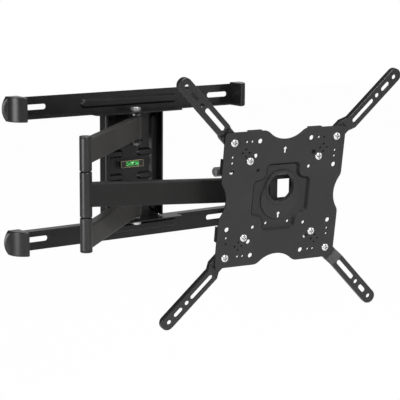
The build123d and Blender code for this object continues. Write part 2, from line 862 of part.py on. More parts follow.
with BuildPart() as vesa_plate:
    with BuildSketch(face.offset(-plate_t)):
        Rectangle(plate_width, plate_width)
        fillet(vertices(), plate_corner_r)
        with GridLocations(0, plate_width + 2 * (waist_r - waist_depth), 1, 2):
            Circle(waist_r, mode=Mode.SUBTRACT)
        with GridLocations(plate_width + 2 * (waist_r - side_waist_depth), 0, 2, 1):
            Circle(waist_r, mode=Mode.SUBTRACT)
        shoulders = [v for v in vertices() if min(abs(v.X), abs(v.Y)) < waist_r]
        fillet(shoulders, shoulder_r)
    extrude(amount=plate_t)
    with BuildSketch(back.offset(plate_t)):
        with PolarLocations(plate_width / 2 - plate_t / 2, 4):
            with Locations((0, -fold_centre), (0, fold_centre)):
                Rectangle(plate_t, fold_length)
    extrude(amount=fold_depth - plate_t)
    with BuildSketch(back.offset(plate_t)):
        add(recess_outside)
    extrude(amount=recess_depth, taper=recess_taper)
    add(pressing.part, mode=Mode.SUBTRACT)
    rim = edges().filter_by_position(Axis(face_point, face_dir), -near, near)
    fillet([e for e in rim if (e.center() - face_point).length < plate_width / 2 - waist_depth], recess_rim_r)
    with BuildSketch(face):
        with GridLocations(vesa_outer, vesa_outer, 2, 2):
            Circle(screw_r + hole_fit)
        with GridLocations(inner_screw_pitch, inner_screw_pitch, 2, 2):
            Circle(screw_r + hole_fit)
        with GridLocations(vesa_inner, vesa_outer, 2, 2):
            Circle(big_hole_r)
        with GridLocations(vesa_outer, vesa_inner, 2, 2):
            Circle(big_hole_r)
        with GridLocations(vesa_inner, vesa_inner, 2, 2):
            Circle(vesa_inner_r)
        with GridLocations(spare_pitch_x, spare_pitch_z, 2, 2):
            Circle(spare_hole_r)
        for pitch in small_pitches:
            with GridLocations(pitch, vesa_outer, 2, 2):
                Circle(small_hole_r)
            with GridLocations(vesa_outer, pitch, 2, 2):
                Circle(small_hole_r)
        with GridLocations(cluster_pitch_x, cluster_pitch_z, 2, 2):
            with PolarLocations(cluster_r, 4):
                Circle(cluster_hole_r)
        with Locations((0, arrow_z)):
            arrow(arrow_height, Mode.ADD)
        with Locations((0, collar_z)):
            Circle(collar_r + running_fit)
        with Locations((-floor_hole_x, floor_hole_z), (floor_hole_x, floor_hole_z)):
            Circle(floor_hole_r)
        with Locations((0, hub_z - hub_arrow_drop)):
            Circle(arrow_hole_r)
    extrude(amount=-floor_back, mode=Mode.SUBTRACT)
keep(vesa_plate.part, "vesa_plate")


def strap_side(depth):
    """The run of an extension arm seen from the side, below its front by a depth."""
    inner = -plate_t - depth
    outer = strap_proud - depth
    with BuildSketch(Plane.XY) as outline:
        Polygon(
            (strap_tail - strap_spare, inner),
            (joggle_start, inner),
            (joggle_end, outer),
            (strap_tip + strap_spare, outer),
            (strap_tip + strap_spare, strap_proud - strap_flange),
            (joggle_end, strap_proud - strap_flange),
            (joggle_start, -plate_t - strap_flange),
            (strap_tail - strap_spare, -plate_t - strap_flange),
            align=None,
        )
    return outline.sketch


strap_front = strap_side(0)
strap_hollow = strap_side(strap_t)


def extension_arm(hand_x, hand_z):
    """A pressed strap that carries the bolt pattern out along one diagonal."""
    half = vesa_outer / 2
    along = (right_dir * hand_x + face_up * hand_z).normalized()
    corner = face_point + right_dir * (half * hand_x) + face_up * (half * hand_z)
    flat = Plane(origin=corner, x_dir=along, z_dir=face_dir)
    edge = Plane(origin=corner - flat.y_dir * strap_width, x_dir=along, z_dir=flat.y_dir * -1)
    length = strap_tip - strap_tail
    mid = (strap_tip + strap_tail) / 2
    with BuildPart() as hollow:
        with BuildSketch(flat.offset(-2 * strap_flange)):
            with Locations((mid, 0)):
                SlotOverall(length - 2 * strap_t, strap_width - 2 * strap_t)
        extrude(amount=2 * strap_flange + 2 * strap_proud)
        with BuildSketch(edge):
            add(strap_hollow)
        extrude(amount=-2 * strap_width, mode=Mode.INTERSECT)
    with BuildPart() as piece:
        with BuildSketch(flat.offset(-2 * strap_flange)):
            with Locations((mid, 0)):
                SlotOverall(length, strap_width)
        extrude(amount=2 * strap_flange + 2 * strap_proud)
        with BuildSketch(edge):
            add(strap_front)
        extrude(amount=-2 * strap_width, mode=Mode.INTERSECT)
        add(hollow.part, mode=Mode.SUBTRACT)
        run = edges().filter_by_position(Axis(corner, face_dir), strap_proud - near, strap_proud + near)
        run = [e for e in run if (e.center() - corner).length > joggle_end + strap_width]
        fillet(run, strap_round)
        with BuildSketch(flat.offset(2 * strap_proud)):
            with Locations(((long_slot_from + long_slot_to) / 2, 0)):
                SlotOverall(long_slot_to - long_slot_from, strap_slot_width)
            with Locations((short_slot_x, 0)):
                SlotOverall(short_slot_length, strap_slot_width)
            with Locations((round_hole_x, 0), (end_hole_x, 0)):
                Circle(strap_slot_width / 2)
            with Locations((0, 0), (inner_screw_x, 0)):
                Circle(screw_r + hole_fit)
        extrude(amount=-2 * strap_flange - 2 * strap_proud, mode=Mode.SUBTRACT)
    return piece.part


keep(extension_arm(-1, 1), "arm_upper_left")
keep(extension_arm(1, 1), "arm_upper_right")
keep(extension_arm(-1, -1), "arm_lower_left")
keep(extension_arm(1, -1), "arm_lower_right")

nut_face = plate_t + strap_t

with BuildPart() as arm_screws:
    for pitch in (vesa_outer, inner_screw_pitch):
        with BuildSketch(face):
            with GridLocations(pitch, pitch, 2, 2):
                Circle(screw_head_r)
        extrude(amount=screw_head_t, taper=screw_head_taper)
        with BuildSketch(back):
            with GridLocations(pitch, pitch, 2, 2):
                Circle(screw_r)
        extrude(amount=nut_face + screw_nut_t)
keep(arm_screws.part, "arm_screws")

with BuildPart() as arm_nuts:
    for pitch in (vesa_outer, inner_screw_pitch):
        with BuildSketch(back.offset(nut_face)):
            with GridLocations(pitch, pitch, 2, 2):
                RegularPolygon(screw_nut_flats / 2, 6, major_radius=False)
                Circle(screw_r, mode=Mode.SUBTRACT)
        extrude(amount=screw_nut_t)
keep(arm_nuts.part, "arm_nuts")
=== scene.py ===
import json
import logging
import math
from dataclasses import dataclass
from enum import Enum
from typing import Any, Iterable, Sequence

import bpy
import numpy as np
from mathutils import Matrix, Vector


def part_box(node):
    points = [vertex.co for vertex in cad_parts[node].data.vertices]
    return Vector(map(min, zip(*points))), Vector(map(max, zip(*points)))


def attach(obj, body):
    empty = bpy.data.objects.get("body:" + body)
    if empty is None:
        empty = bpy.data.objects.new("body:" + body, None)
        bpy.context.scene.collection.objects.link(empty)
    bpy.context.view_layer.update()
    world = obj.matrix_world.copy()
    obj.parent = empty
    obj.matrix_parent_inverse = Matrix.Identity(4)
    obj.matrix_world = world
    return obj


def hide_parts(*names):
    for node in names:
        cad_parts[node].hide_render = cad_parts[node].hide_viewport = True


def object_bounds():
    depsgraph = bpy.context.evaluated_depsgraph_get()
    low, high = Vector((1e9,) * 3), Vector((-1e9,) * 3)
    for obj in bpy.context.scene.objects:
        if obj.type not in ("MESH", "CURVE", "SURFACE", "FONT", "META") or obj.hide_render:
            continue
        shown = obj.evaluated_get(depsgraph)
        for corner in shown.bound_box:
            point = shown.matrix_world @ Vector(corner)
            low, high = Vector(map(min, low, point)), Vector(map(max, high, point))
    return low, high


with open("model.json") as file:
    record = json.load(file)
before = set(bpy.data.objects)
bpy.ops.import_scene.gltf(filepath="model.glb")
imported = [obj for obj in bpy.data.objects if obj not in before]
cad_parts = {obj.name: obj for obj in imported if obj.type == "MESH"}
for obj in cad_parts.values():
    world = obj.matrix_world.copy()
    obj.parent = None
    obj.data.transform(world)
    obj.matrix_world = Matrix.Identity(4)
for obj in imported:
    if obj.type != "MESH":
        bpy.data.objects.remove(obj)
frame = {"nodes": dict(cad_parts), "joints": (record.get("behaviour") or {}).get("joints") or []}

LOG = logging.getLogger("wall_mount")
MM = 0.001
CAD_BOX = [list(corner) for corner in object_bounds()]

Colour = tuple[float, float, float]

# Turned pieces have this many points round their axis.
AROUND = 96
TURNS = np.linspace(0, 2 * np.pi, AROUND, endpoint=False)

# The values that noise and grains vary around.
NOISE_MIDDLE = 0.5
GRAIN_MIDDLE = 0.45


def grey(level: float) -> Colour:
    """A colour without hue."""
    return (level, level, level)


# Shader building


class Value:
    """A number that changes over a surface: a socket with arithmetic."""

    def __init__(self, shader: "Nodes", socket: bpy.types.NodeSocket) -> None:
        """Keep the socket and the tree that new Math nodes go into.

        Args:
            shader: The tree that owns the socket.
            socket: An output that gives one number.
        """
        self.shader = shader
        self.socket = socket

    def _math(self, operation: str, first: Any, second: Any) -> "Value":
        """Add one Math node.

        Args:
            operation: The Math node's operation.
            first: A value or number.
            second: A value or number.

        Returns:
            The node's result.
        """
        return self.shader.value("ShaderNodeMath", {"operation": operation}, {0: first, 1: second})

    def __add__(self, other: Any) -> "Value":
        """Sum."""
        return self._math("ADD", self, other)

    def __sub__(self, other: Any) -> "Value":
        """Difference."""
        return self._math("SUBTRACT", self, other)

    def __rsub__(self, other: Any) -> "Value":
        """Difference with the value on the right."""
        return self._math("SUBTRACT", other, self)

    def __mul__(self, other: Any) -> "Value":
        """Product."""
        return self._math("MULTIPLY", self, other)

    def __truediv__(self, other: Any) -> "Value":
        """Quotient."""
        return self._math("DIVIDE", self, other)

    def __pow__(self, other: Any) -> "Value":
        """Power."""
        return self._math("POWER", self, other)

    def least(self, other: Any) -> "Value":
        """The smaller of two."""
        return self._math("MINIMUM", self, other)

    def most(self, other: Any) -> "Value":
        """The larger of two."""
        return self._math("MAXIMUM", self, other)

    def share(self) -> "Value":
        """The value, kept between 0 and 1."""
        return self.most(0.0).least(1.0)

    def size(self) -> "Value":
        """The value without its sign."""
        return self._math("ABSOLUTE", self, 0.0)

    def between(self, low: float, high: float) -> "Value":
        """Rise smoothly from 0 at low to 1 at high.

        Args:
            low: Where the result leaves 0.
            high: Where the result reaches 1.

        Returns:
            The eased step.
        """
        settings = {"interpolation_type": "SMOOTHSTEP"}
        return self.shader.value("ShaderNodeMapRange", settings, {0: self, 1: low, 2: high})


class Nodes:
    """A node tree that is written as expressions."""

    def __init__(self, tree: bpy.types.NodeTree) -> None:
        """Start from an empty tree.

        Args:
            tree: The tree of a material or of the world.
        """
        self.tree = tree
        self.tree.nodes.clear()

    def add(self, kind: str, settings: dict[str, Any], sockets: dict[Any, Any]) -> bpy.types.Node:
        """Add any node.

        Args:
            kind: The node's type.
            settings: Properties that are set before the sockets.
            sockets: Input name or number to a constant, a value or an output socket.

        Returns:
            The new node.
        """
        made = self.tree.nodes.new(kind)
        for key, setting in settings.items():
            setattr(made, key, setting)
        for key, given in sockets.items():
            target = made.inputs[key]
            if isinstance(given, Value):
                self.tree.links.new(given.socket, target)
            elif isinstance(given, bpy.types.NodeSocket):
                self.tree.links.new(given, target)
            else:
                target.default_value = given
        return made

    def value(self, kind: str, settings: dict[str, Any], sockets: dict[Any, Any]) -> Value:
        """Add a node and wrap its first output.

        Args:
            kind: The node's type.
            settings: Properties that are set before the sockets.
            sockets: Inputs as in add.

        Returns:
            The first output as a value.
        """
        return Value(self, self.add(kind, settings, sockets).outputs[0])

    def dot(self, first: Any, second: Any) -> Value:
        """The scalar product of two vectors.

        Args:
            first: A vector socket.
            second: A vector socket or three numbers.

        Returns:
            The product.
        """
        ends = {0: first, 1: second if isinstance(second, bpy.types.NodeSocket) else tuple(second)}
        made = self.add("ShaderNodeVectorMath", {"operation": "DOT_PRODUCT"}, ends)
        return Value(self, made.outputs["Value"])

    def background_rays(self, coordinates: str, way: Vector, near: float, far: float) -> Value:
        """1 for rays that show the background, and 0 for rays that light the object.

        Camera rays always show it, and glossy and transmission rays do where they run its way.

        Args:
            coordinates: The texture coordinates whose direction is set against the way.
            way: The direction in which the background lies.
            near: The cosine below which glossy and transmission rays meet the plain room.
            far: The cosine above which they meet the white background.

        Returns:
            The share of the background.
        """
        place = self.add("ShaderNodeTexCoord", {}, {}).outputs[coordinates]
        unit = self.add("ShaderNodeVectorMath", {"operation": "NORMALIZE"}, {0: place}).outputs[0]
        behind = self.dot(unit, way).between(near, far)
        path = self.add("ShaderNodeLightPath", {}, {}).outputs
        kinds = [Value(self, path[k]) for k in ("Is Camera Ray", "Is Glossy Ray", "Is Transmission Ray")]
        return kinds[0].most(kinds[1].most(kinds[2]) * behind)


@dataclass(frozen=True)
class Blotches:
    """Soft random blotches: how many to the metre, their finer layers and how strong those are."""

    scale: float
    detail: float
    roughness: float


class Shader(Nodes):
    """One material's node tree.

    The turns are 1 minus the cosine of an angle, where a mask leaves 0 and where it reaches 1.
    """

    BEVEL_SAMPLES = 6
    EDGE_TURN = (0.02, 0.3)
    # Painted shade on steep walls, and how much less of it falls on walls that face up.
    WALL_TURN = (0.03, 0.25)
    FACING_UP_RISE = (0.05, 0.4)
    FACING_UP_SHARE = 0.8
    CORNER_SAMPLES = 8
    CORNER_DEPTH = (0.15, 0.6)
    GRAIN_SMOOTHNESS = 0.6

    def __init__(self, name: str) -> None:
        """Start an empty material with one Principled shader.

        Args:
            name: The material's name.
        """
        self.material = bpy.data.materials.new(name)
        self.material.use_nodes = True
        super().__init__(self.material.node_tree)
        self.body = self.add("ShaderNodeBsdfPrincipled", {}, {})
        self.add("ShaderNodeOutputMaterial", {}, {0: self.body.outputs[0]})

    def place(self) -> bpy.types.NodeSocket:
        """The point on the surface, in the row frame's metres."""
        return self.add("ShaderNodeTexCoord", {}, {}).outputs["Object"]

    def along(self, axis: str) -> Value:
        """One coordinate of the point on the surface, in metres.

        Args:
            axis: X, Y or Z.

        Returns:
            The coordinate.
        """
        parts = self.add("ShaderNodeSeparateXYZ", {}, {0: self.place()})
        return Value(self, parts.outputs[axis])

    def noise(self, kind: Blotches) -> Value:
        """Soft random blotches.

        Args:
            kind: Their size and layers.

        Returns:
            A value around NOISE_MIDDLE.
        """
        sockets = {
            "Vector": self.place(),
            "Scale": kind.scale,
            "Detail": kind.detail,
            "Roughness": kind.roughness,
        }
        return self.value("ShaderNodeTexNoise", {}, sockets)

    def grains(self, scale: float) -> Value:
        """Distance to the middle of the nearest grain.

        Args:
            scale: Grains to the metre.

        Returns:
            0 at a grain's middle, rising outwards, and GRAIN_MIDDLE on the whole.
        """
        settings = {"feature": "SMOOTH_F1"}
        sockets = {"Vector": self.place(), "Scale": scale, "Smoothness": self.GRAIN_SMOOTHNESS}
        return self.value("ShaderNodeTexVoronoi", settings, sockets)

    def rounded(self, radius: float) -> bpy.types.NodeSocket:
        """The surface normal as if each sharp edge had a small round.

        Args:
            radius: The round's radius in metres.

        Returns:
            A normal.
        """
        settings = {"samples": self.BEVEL_SAMPLES}
        return self.add("ShaderNodeBevel", settings, {"Radius": radius}).outputs[0]

    def edges(self, radius: float) -> Value:
        """1 along sharp edges and 0 on flats, from how far the rounded normal turns away.

        Args:
            radius: Width of the edge in metres.

        Returns:
            The edge mask.
        """
        plain = self.add("ShaderNodeNewGeometry", {}, {}).outputs["Normal"]
        return (1.0 - self.dot(self.rounded(radius), plain)).between(*self.EDGE_TURN)

    def shaded_walls(self, face: Sequence[float]) -> Value:
        """Where to paint shade: 0 on a pressed sheet's face and 1 on its steep walls, less on walls that
        face up towards the light.

        Args:
            face: The face's direction in the row frame, at rest.

        Returns:
            The mask.
        """
        plain = self.add("ShaderNodeNewGeometry", {}, {}).outputs["Normal"]
        settings = {"vector_type": "NORMAL", "convert_from": "WORLD", "convert_to": "OBJECT"}
        own = self.add("ShaderNodeVectorTransform", settings, {0: plain}).outputs[0]
        facing_up = self.dot(own, (0.0, 0.0, 1.0)).between(*self.FACING_UP_RISE)
        steep = (1.0 - self.dot(own, face)).between(*self.WALL_TURN)
        return steep * (1.0 - facing_up * self.FACING_UP_SHARE)

    def corners(self, reach: float) -> Value:
        """A painted-shade mask: 1 deep in a piece's own recesses and 0 on its open faces.

        Args:
            reach: How far away a wall still counts, in metres.

        Returns:
            The mask.
        """
        settings = {"only_local": True, "samples": self.CORNER_SAMPLES}
        made = self.add("ShaderNodeAmbientOcclusion", settings, {"Distance": reach})
        return (1.0 - Value(self, made.outputs["AO"])).between(*self.CORNER_DEPTH)

    def blend(self, amount: Value, first: Any, second: Any) -> bpy.types.NodeSocket:
        """Mix two colours.

        Args:
            amount: 0 for the first, 1 for the second.
            first: A colour of three numbers, or a colour socket.
            second: The same.

        Returns:
            The mixed colour.
        """
        ends = [c if isinstance(c, bpy.types.NodeSocket) else (*c, 1.0) for c in (first, second)]
        made = self.add("ShaderNodeMix", {"data_type": "RGBA"}, {0: amount, 6: ends[0], 7: ends[1]})
        return made.outputs[2]

    def bump(self, height: Value, strength: float, distance: float, normal: Any) -> Any:
        """Roughen a normal.

        Args:
            height: The relief.
            strength: From 0 to 1.
            distance: The relief's depth in metres.
            normal: The normal to start from.

        Returns:
            The roughened normal.
        """
        sockets = {"Height": height, "Strength": strength, "Distance": distance, "Normal": normal}
        return self.add("ShaderNodeBump", {}, sockets).outputs[0]

    def finish(self, varying: dict[str, Any], fixed: dict[str, Any]) -> bpy.types.Material:
        """Connect the Principled shader.

        Args:
            varying: Socket name to a value or socket.
            fixed: Socket name to a constant.

        Returns:
            The material.
        """
        for key, constant in fixed.items():
            self.body.inputs[key].default_value = constant
        for key, given in varying.items():
            source = given.socket if isinstance(given, Value) else given
            self.tree.links.new(source, self.body.inputs[key])
        return self.material


# Finishes


@dataclass(frozen=True)
class PowderCoat:
    """Sprayed and baked paint on steel: fine orange peel, tiny grains and paler edges, partly wear and
    partly painted highlight.

    A pressed sheet's coat gets painted shade on its steep walls, darker by the given share, and less on
    walls that face up.
    """

    name: str
    colour: Colour
    pale: Colour
    gloss: float
    level: float
    edge: float = 1.0 * MM
    wall_shade_share: float = 0.0
    face: Colour = (0.0, -1.0, 0.0)
    shade: Colour = grey(0.002)
    cloud: Blotches = Blotches(14.0, 4.0, 0.6)
    cloud_tone: float = 0.35
    cloud_rough: float = 0.14
    peel: Blotches = Blotches(405.0, 3.0, 0.55)
    peel_rough: float = 0.12
    peel_height: float = 0.6
    grain: float = 900.0
    grain_tone: float = 0.18
    grain_height: float = 0.4
    # Share of pale on edges: partly wear, partly painted highlight.
    edge_wear_and_sheen: float = 0.35
    relief: float = 0.06
    relief_depth: float = 0.25 * MM

    def make(self) -> bpy.types.Material:
        """Build the material."""
        s = Shader(self.name)
        cloud = s.noise(self.cloud) - NOISE_MIDDLE
        peel = s.noise(self.peel)
        speck = s.grains(self.grain)
        # Paler edges, partly wear and partly a painted highlight.
        edge = s.edges(self.edge) * self.edge_wear_and_sheen
        tone_and_edge_sheen = cloud * self.cloud_tone + edge + (speck - GRAIN_MIDDLE) * self.grain_tone
        colour = s.blend(tone_and_edge_sheen.share(), self.colour, self.pale)
        # Painted shade on the pressing's steep walls.
        if self.wall_shade_share:
            colour = s.blend(s.shaded_walls(self.face) * self.wall_shade_share, colour, self.shade)
        rough = cloud * self.cloud_rough + (peel - NOISE_MIDDLE) * self.peel_rough + self.gloss
        height = peel * self.peel_height + speck * self.grain_height
        normal = s.bump(height, self.relief, self.relief_depth, s.rounded(self.edge))
        return s.finish(
            {"Base Color": colour, "Roughness": rough, "Normal": normal},
            {"Specular IOR Level": self.level},
        )


@dataclass(frozen=True)
class Moulded:
    """Moulded plastic with a fine spark-eroded texture and paler edges, partly wear and partly painted
    highlight.
    """

    name: str
    colour: Colour
    pale: Colour
    gloss: float
    level: float
    edge: float = 0.8 * MM
    edge_wear_and_sheen: float = 0.3
    flow: Blotches = Blotches(22.0, 3.0, 0.5)
    flow_tone: float = 0.3
    flow_rough: float = 0.1
    pits: float = 1800.0
    pits_rough: float = 0.1
    relief: float = 0.05
    relief_depth: float = 0.15 * MM

    def make(self) -> bpy.types.Material:
        """Build the material."""
        s = Shader(self.name)
        flow = s.noise(self.flow) - NOISE_MIDDLE
        pits = s.grains(self.pits)
        # Paler edges, partly wear and partly a painted highlight.
        edge = s.edges(self.edge) * self.edge_wear_and_sheen
        colour = s.blend((flow * self.flow_tone + edge).share(), self.colour, self.pale)
        rough = flow * self.flow_rough + (pits - GRAIN_MIDDLE) * self.pits_rough + self.gloss
        normal = s.bump(pits, self.relief, self.relief_depth, s.rounded(self.edge))
        return s.finish(
            {"Base Color": colour, "Roughness": rough, "Normal": normal},
            {"Specular IOR Level": self.level},
        )


@dataclass(frozen=True)
class Plated:
    """Bright plated steel with turning marks, a little haze and painted shade in its recesses."""

    name: str
    colour: Colour
    dull: Colour
    gloss: float = 0.16
    metal: float = 1.0
    haze: Blotches = Blotches(160.0, 3.0, 0.6)
    haze_tone: float = 0.7
    haze_rough: float = 0.16
    marks: Blotches = Blotches(2600.0, 1.0, 0.4)
    marks_rough: float = 0.08
    edge: float = 0.4 * MM
    edge_rough: float = 0.06
    edge_round: float = 0.35 * MM
    painted_recess_shade: Colour = grey(0.02)
    painted_shade_reach: float = 1.6 * MM
    relief: float = 0.04
    relief_depth: float = 0.1 * MM

    def make(self) -> bpy.types.Material:
        """Build the material."""
        s = Shader(self.name)
        haze = s.noise(self.haze)
        lines = s.noise(self.marks)
        edge = s.edges(self.edge) * self.edge_rough
        unshaded = s.blend((haze * self.haze_tone).least(1.0), self.colour, self.dull)
        # Painted shade deep in the piece's own recesses.
        colour = s.blend(s.corners(self.painted_shade_reach), unshaded, self.painted_recess_shade)
        clouded = (haze - NOISE_MIDDLE) * self.haze_rough + (lines - NOISE_MIDDLE) * self.marks_rough
        rough = clouded + edge + self.gloss
        normal = s.bump(lines, self.relief, self.relief_depth, s.rounded(self.edge_round))
        return s.finish(
            {"Base Color": colour, "Roughness": rough, "Normal": normal},
            {"Metallic": self.metal},
        )


@dataclass(frozen=True)
class Tinted:
    """Green liquid in the level's tube, with two dark marks and a pale bubble between them, and a faint
    painted glow in its own colour.
    """

    name: str
    colour: Colour
    deep: Colour
    air: Colour = (0.3, 0.75, 0.3)
    ink: Colour = (0.01, 0.03, 0.008)
    glow: float = 0.12
    gloss: float = 0.05
    coat: float = 0.6
    coat_gloss: float = 0.03
    swirl: Blotches = Blotches(420.0, 3.0, 0.5)
    swirl_step: tuple[float, float] = (0.38, 0.62)
    swirl_rough: float = 0.06
    mark_at: float = 5.5 * MM
    mark_half: float = 0.45 * MM
    mark_rim: float = 0.6
    bubble_half: float = 4.2 * MM
    bubble_high: float = 1.5 * MM
    bubble_lift: float = 4.8 * MM
    bubble_rim: float = 0.72

    def make(self) -> bpy.types.Material:
        """Build the material."""
        s = Shader(self.name)
        x, z = s.along("X"), s.along("Z")
        swirl = s.noise(self.swirl)
        liquid = s.blend(swirl.between(*self.swirl_step), self.colour, self.deep)
        oval = ((x / self.bubble_half) ** 2 + ((z - self.bubble_lift) / self.bubble_high) ** 2) ** 0.5
        bubble = 1.0 - oval.between(self.bubble_rim, 1.0)
        filled = s.blend(bubble, liquid, self.air)
        mark = 1.0 - ((x.size() - self.mark_at).size() / self.mark_half).between(self.mark_rim, 1.0)
        colour = s.blend(mark, filled, self.ink)
        rough = swirl * self.swirl_rough + self.gloss
        # The emission is painted light: the liquid glows faintly though it is no lamp.
        return s.finish(
            {"Base Color": colour, "Emission Color": colour, "Roughness": rough},
            {"Emission Strength": self.glow, "Coat Weight": self.coat, "Coat Roughness": self.coat_gloss},
        )


@dataclass(frozen=True)
class Clear:
    """Clear plastic over dark paint: dark on its flats, straw-coloured where light leaves its edges."""

    name: str
    colour: Colour
    straw: Colour
    edge: float = 2.2 * MM
    edge_least: float = 0.5
    edge_more: float = 0.8
    edge_round: float = 0.5 * MM
    flow: Blotches = Blotches(90.0, 2.0, 0.5)
    flow_rough: float = 0.08
    gloss: float = 0.06
    level: float = 0.5
    coat: float = 0.5
    coat_gloss: float = 0.04

    def make(self) -> bpy.types.Material:
        """Build the material."""
        s = Shader(self.name)
        flow = s.noise(self.flow)
        edge = s.edges(self.edge) * (flow * self.edge_more + self.edge_least)
        colour = s.blend(edge.share(), self.colour, self.straw)
        rough = flow * self.flow_rough + self.gloss
        return s.finish(
            {"Base Color": colour, "Roughness": rough, "Normal": s.rounded(self.edge_round)},
            {
                "Specular IOR Level": self.level,
                "Coat Weight": self.coat,
                "Coat Roughness": self.coat_gloss,
            },
        )


class Finish(Enum):
    """The finishes of this mount."""

    BRACKET = PowderCoat("bracket_coat", (0.005, 0.005, 0.0052), grey(0.04), 0.34, 0.36)
    POST = PowderCoat("post_coat", (0.013, 0.0128, 0.0126), grey(0.06), 0.32, 0.55)
    TUBE = PowderCoat("tube_coat", (0.0175, 0.0173, 0.017), (0.06, 0.06, 0.058), 0.4, 0.07)
    # The rear tubes carry the forearm's paint, drawn lighter here as painted light for the brighter light
    # on them, and slightly warmer.
    REAR_LIT = PowderCoat("rear_coat", (0.034, 0.033, 0.0312), (0.08, 0.078, 0.074), 0.4, 0.12)
    # The plate's coat paints shade on the walls of its pressing.
    PLATE = PowderCoat(
        "plate_coat",
        grey(0.028),
        grey(0.08),
        0.48,
        0.16,
        edge=1.1 * MM,
        wall_shade_share=0.8,
        face=(-0.115, -0.983, -0.144),
    )
    HUB = PowderCoat("hub_coat", grey(0.028), grey(0.08), 0.48, 0.16, edge=1.1 * MM)
    HEAD = PowderCoat("head_coat", (0.022, 0.022, 0.0222), grey(0.06), 0.45, 0.2, edge=0.7 * MM)
    STRAP = PowderCoat("strap_coat", (0.009, 0.009, 0.0092), grey(0.09), 0.32, 0.45, edge=1.6 * MM)
    CAP = Moulded("cap_plastic", (0.011, 0.011, 0.0112), grey(0.04), 0.3, 0.5)
    KNOB = Moulded("knob_plastic", grey(0.09), grey(0.16), 0.34, 0.45)
    NYLON = Moulded("bush_nylon", grey(0.006), grey(0.02), 0.5, 0.3)
    HOUSING = Clear("level_body", (0.014, 0.014, 0.013), (0.6, 0.52, 0.3))
    BRIGHT = Plated("bright_steel", (0.82, 0.82, 0.83), (0.6, 0.6, 0.62), metal=0.75)
    DULL = Plated("dull_zinc", grey(0.24), grey(0.12), 0.34)
    TURNED = Plated(
        "pin_steel", (0.55, 0.55, 0.56), (0.4, 0.4, 0.41), 0.28, marks=Blotches(3200.0, 1.0, 0.4)
    )
    VIAL = Tinted("level_tint", (0.05, 0.48, 0.1), (0.004, 0.045, 0.008))


class Palette:
    """The materials of the finishes, each made once."""

    def __init__(self) -> None:
        """Start with none made."""
        self.made: dict[Finish, bpy.types.Material] = {}

    def get(self, finish: Finish) -> bpy.types.Material:
        """The material of a finish."""
        if finish not in self.made:
            self.made[finish] = finish.value.make()
        return self.made[finish]


# Surfaces


@dataclass
class Surface:
    """A closed mesh kept as whole arrays: points, four-sided faces and three-sided faces."""

    points: np.ndarray
    quads: np.ndarray
    tris: np.ndarray

    def copies(self, shifts: np.ndarray) -> "Surface":
        """Repeat the surface at several shifts.

        Args:
            shifts: One shift to a row.

        Returns:
            All copies as one surface.
        """
        count, size = len(shifts), len(self.points)
        points = (self.points[None] + shifts[:, None]).reshape(-1, 3)
        steps = (np.arange(count) * size)[:, None, None]
        return Surface(
            points,
            (self.quads[None] + steps).reshape(-1, 4),
            (self.tris[None] + steps).reshape(-1, 3),
        )

    def joined(self, other: "Surface") -> "Surface":
        """This surface and another as one.

        Args:
            other: The surface to add.

        Returns:
            Both.
        """
        size = len(self.points)
        return Surface(
            np.vstack([self.points, other.points]),
            np.vstack([self.quads, other.quads + size]),
            np.vstack([self.tris, other.tris + size]),
        )

    def piece(self, name: str, body: str, sharp: float = 32.0) -> bpy.types.Object:
        """Make the mesh object and let it ride on a body.

        Args:
            name: The piece's name.
            body: The CAD body that carries it.
            sharp: Edges that turn by more than this many degrees stay crisp.

        Returns:
            The object, at the origin.
        """
        mesh = bpy.data.meshes.new(name)
        faces = self.quads.tolist() + self.tris.tolist()
        mesh.from_pydata(self.points.tolist(), [], faces)
        mesh.validate()
        mesh.polygons.foreach_set("use_smooth", np.ones(len(mesh.polygons), dtype=bool))
        mesh.set_sharp_from_angle(angle=math.radians(sharp))
        mesh.update()
        made = bpy.data.objects.new(name, mesh)
        bpy.context.scene.collection.objects.link(made)
        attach(made, body)
        LOG.info("piece %s on %s: %d faces", name, body, len(faces))
        return made


@dataclass(frozen=True)
class Place:
    """A local frame: an origin and three unit directions in the row frame."""

    origin: np.ndarray
    x: np.ndarray
    y: np.ndarray
    z: np.ndarray

    @staticmethod
    def along(origin: Iterable[float], z: Iterable[float], x: Iterable[float]) -> "Place":
        """A frame from its Z and a direction near its X.

        Args:
            origin: The frame's origin.
            z: The direction of Z.
            x: A direction that X leans towards.

        Returns:
            The frame.
        """
        up = np.array(list(z), float)
        up = up / np.linalg.norm(up)
        side = np.array(list(x), float)
        side = side - up * (side @ up)
        side = side / np.linalg.norm(side)
        return Place(np.array(list(origin), float), side, np.cross(up, side), up)

    def shift(self, a: Any, b: Any, c: Any) -> np.ndarray:
        """Directions a, b and c along X, Y and Z, without the origin."""
        return np.multiply.outer(a, self.x) + np.multiply.outer(b, self.y) + np.multiply.outer(c, self.z)

    def point(self, a: Any, b: Any, c: Any) -> np.ndarray:
        """Points at a, b and c along X, Y and Z."""
        return self.origin + self.shift(a, b, c)


def ring_faces(rows: int, around: int) -> np.ndarray:
    """Four-sided faces of a grid whose columns close into a ring.

    Args:
        rows: Rows of points.
        around: Points to a row.

    Returns:
        Point numbers, four to a face.
    """
    row, column = np.meshgrid(np.arange(rows - 1), np.arange(around), indexing="ij")
    nxt = (column + 1) % around
    low, high = row * around, (row + 1) * around
    return np.stack([low + column, low + nxt, high + nxt, high + column], -1).reshape(-1, 4)


